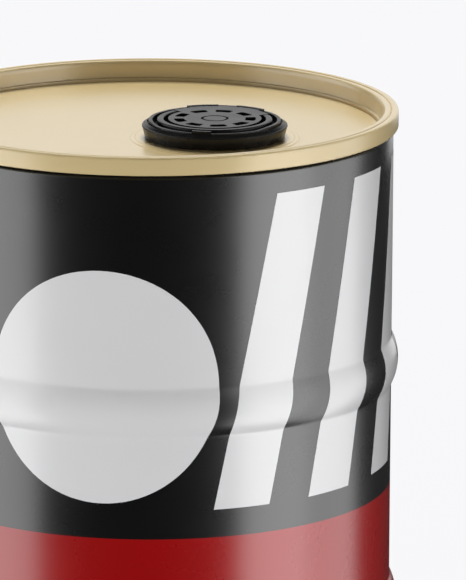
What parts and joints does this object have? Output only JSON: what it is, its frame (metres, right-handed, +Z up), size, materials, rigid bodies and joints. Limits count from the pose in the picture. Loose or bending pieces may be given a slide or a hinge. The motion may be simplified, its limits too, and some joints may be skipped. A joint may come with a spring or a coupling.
{
  "type": "tight-head paint can with retractable spout",
  "caption": "Cylindrical closed-top metal can with rolled hoops, recessed gold end and an off-centre pull-up pouring spout under a screw cap.",
  "frame": {"origin": "centre of the bottom seam's standing ring", "axes": "+Z up along the can's axis; the welded side seam is at +Y and the closure lies towards +X and -Y"},
  "size_m": [0.1696, 0.1696, 0.258],
  "materials": {
    "printed_tinplate": "gloss print, black over red, with plain white shapes",
    "gold_tinplate": "satin gold lacquer",
    "seam_rubber": "matt sealing compound",
    "black_polythene": "satin moulded polythene",
    "natural_polythene": "milky flexible polythene",
    "liner_foam": "matt foamed disc"
  },
  "bodies": {
    "can": {"can_body": "printed_tinplate", "top_end": "gold_tinplate", "bottom_end": "gold_tinplate", "top_seam_compound": "seam_rubber", "bottom_seam_compound": "seam_rubber", "spout_collar": "black_polythene", "neck_gasket": "seam_rubber"},
    "fold": {"spout_fold": "natural_polythene"},
    "nozzle": {"pouring_nozzle": "natural_polythene", "tear_off_seal": "natural_polythene"},
    "liner": {"cap_liner": "liner_foam"},
    "cap": {"screw_cap": "black_polythene"},
    "bail": {"pull_bail": "black_polythene"}
  },
  "joints": [
    {"name": "spout_extend", "type": "slide", "parent": "can", "child": "nozzle", "axis": [0, 0, 1], "range_m": [0, 0.027]},
    {"name": "fold_rise", "type": "slide", "parent": "can", "child": "fold", "axis": [0, 0, 1], "range_m": [0, 0.0141]},
    {"name": "cap_rise", "type": "slide", "parent": "nozzle", "child": "liner", "axis": [0, 0, 1], "range_m": [0, 0.0048]},
    {"name": "cap_turn", "type": "hinge", "parent": "liner", "child": "cap", "pos_m": [0.02157, -0.01908, 0.25], "axis": [0, 0, 1], "range_deg": [0, 540]},
    {"name": "bail_lift", "type": "hinge", "parent": "cap", "child": "bail", "pos_m": [0.02376, -0.00912, 0.2578], "axis": [-0.9767, 0.2147, 0], "range_deg": [0, 100]}
  ],
  "couplings": [
    {"joint": "fold_rise", "follows": "spout_extend", "ratio": 0.5185},
    {"joint": "cap_turn", "follows": "cap_rise", "rad_per_m": 1963.5}
  ]
}
